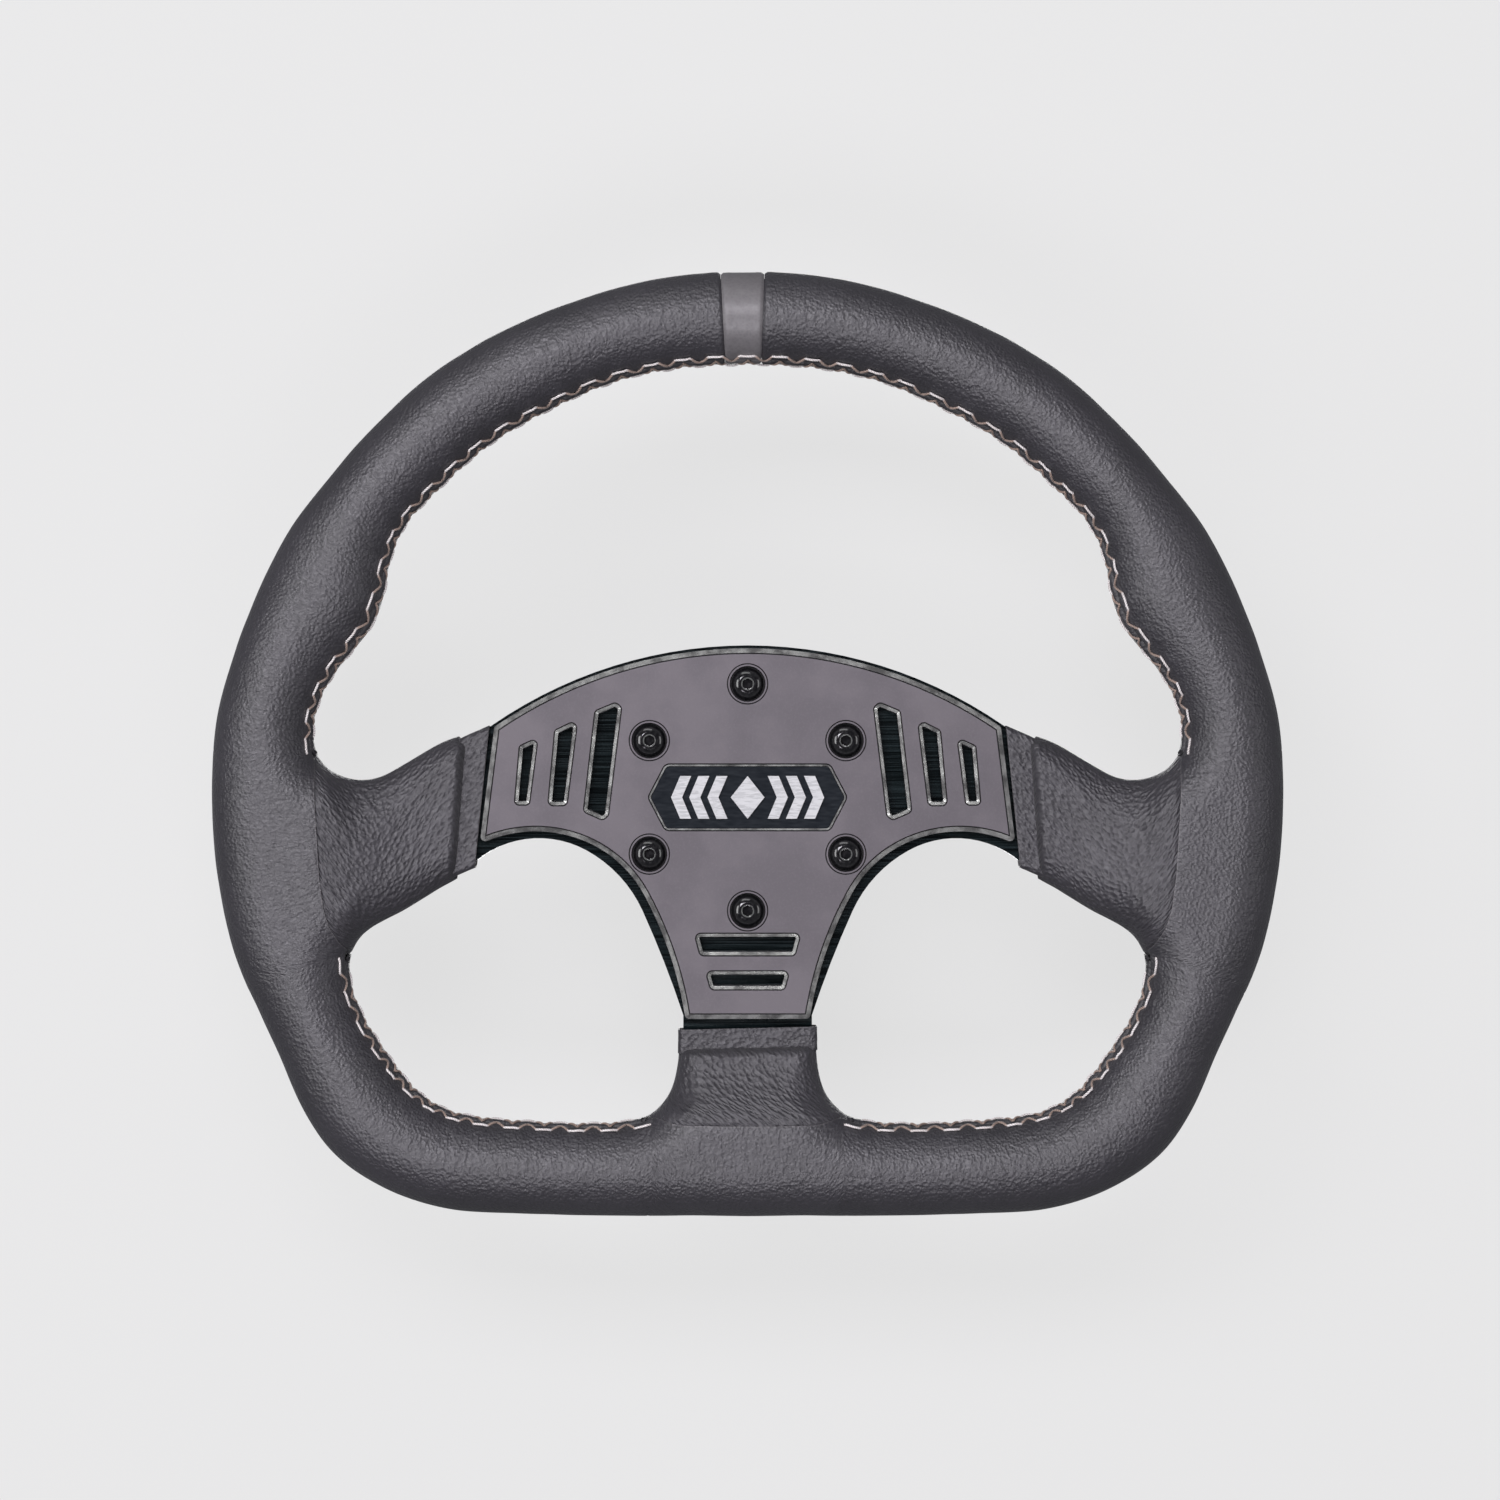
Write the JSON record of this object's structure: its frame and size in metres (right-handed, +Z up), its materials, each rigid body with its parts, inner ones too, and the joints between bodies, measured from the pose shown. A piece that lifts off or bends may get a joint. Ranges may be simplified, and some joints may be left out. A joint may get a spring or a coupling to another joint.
{
  "type": "quick release steering wheel",
  "caption": "Flat-bottomed leather steering wheel that locks onto a splined column stub and comes off when its collar is pulled.",
  "frame": {"origin": "centre of the steering shaft bore's mouth, at the rear end of the column stub", "axes": "+Y along the steering axis away from the driver, +Z up with the wheel straight ahead, +X to the driver's right"},
  "size_m": [0.3304, 0.0996, 0.291],
  "materials": {
    "zinc_steel": "machined, zinc plated",
    "washer_nylon": "matte",
    "hub_black": "black anodised",
    "spring_steel": "drawn wire",
    "core_black": "gloss black",
    "ring_steel": "mill finish",
    "foam": "moulded skin",
    "rim_leather": "smooth, satin",
    "sleeve_leather": "pebbled, matt",
    "stripe_leather": "smooth, satin",
    "thread": "twisted",
    "faceplate_anodised": "bead blasted, anodised",
    "badge_black": "satin black",
    "badge_bright": "polished",
    "screw_black": "gloss black",
    "collar_anodised": "black anodised",
    "ball_steel": "ground"
  },
  "bodies": {
    "column": {"column_stub": "zinc_steel", "anti_rattle_washer": "washer_nylon"},
    "wheel": {"quick_release_hub": "hub_black", "collar_retaining_ring": "spring_steel", "collar_spring": "spring_steel", "core_plate": "core_black", "rim_ring": "ring_steel", "foam_moulding": "foam", "leather_upper_left": "rim_leather", "leather_upper_right": "rim_leather", "leather_lower_left": "rim_leather", "leather_lower_right": "rim_leather", "centre_stripe": "stripe_leather", "spoke_sleeve_left": "sleeve_leather", "spoke_sleeve_right": "sleeve_leather", "spoke_sleeve_bottom": "sleeve_leather", "end_band_left": "sleeve_leather", "end_band_right": "sleeve_leather", "end_band_bottom": "sleeve_leather", "stitching_upper": "thread", "stitching_lower_left": "thread", "stitching_lower_right": "thread", "faceplate": "faceplate_anodised", "badge_plate": "badge_black", "badge_inlay": "badge_bright", "wheel_screws": "screw_black"},
    "collar": {"release_collar": "collar_anodised"},
    "ball_1": {"locking_ball_1": "ball_steel"},
    "ball_2": {"locking_ball_2": "ball_steel"},
    "ball_3": {"locking_ball_3": "ball_steel"},
    "ball_4": {"locking_ball_4": "ball_steel"},
    "ball_5": {"locking_ball_5": "ball_steel"},
    "ball_6": {"locking_ball_6": "ball_steel"}
  },
  "joints": [
    {"name": "wheel_pull_off", "type": "slide", "parent": "column", "child": "wheel", "axis": [0, -1, 0], "range_m": [0, 0.06]},
    {"name": "collar_slide", "type": "slide", "parent": "wheel", "child": "collar", "axis": [0, -1, 0], "range_m": [0, 0.008], "stiffness_N_per_m": 3000, "springref_m": -0.006, "deforming": ["collar_spring"]},
    {"name": "ball_1_lift", "type": "slide", "parent": "wheel", "child": "ball_1", "axis": [1, 0, 0], "range_m": [0, 0.0021]},
    {"name": "ball_2_lift", "type": "slide", "parent": "wheel", "child": "ball_2", "axis": [0.5, 0, 0.866], "range_m": [0, 0.0021]},
    {"name": "ball_3_lift", "type": "slide", "parent": "wheel", "child": "ball_3", "axis": [-0.5, 0, 0.866], "range_m": [0, 0.0021]},
    {"name": "ball_4_lift", "type": "slide", "parent": "wheel", "child": "ball_4", "axis": [-1, 0, 0], "range_m": [0, 0.0021]},
    {"name": "ball_5_lift", "type": "slide", "parent": "wheel", "child": "ball_5", "axis": [-0.5, 0, -0.866], "range_m": [0, 0.0021]},
    {"name": "ball_6_lift", "type": "slide", "parent": "wheel", "child": "ball_6", "axis": [0.5, 0, -0.866], "range_m": [0, 0.0021]}
  ],
  "couplings": [
    {"joint": "ball_1_lift", "follows": "collar_slide", "ratio": 0.2625},
    {"joint": "ball_2_lift", "follows": "collar_slide", "ratio": 0.2625},
    {"joint": "ball_3_lift", "follows": "collar_slide", "ratio": 0.2625},
    {"joint": "ball_4_lift", "follows": "collar_slide", "ratio": 0.2625},
    {"joint": "ball_5_lift", "follows": "collar_slide", "ratio": 0.2625},
    {"joint": "ball_6_lift", "follows": "collar_slide", "ratio": 0.2625}
  ]
}
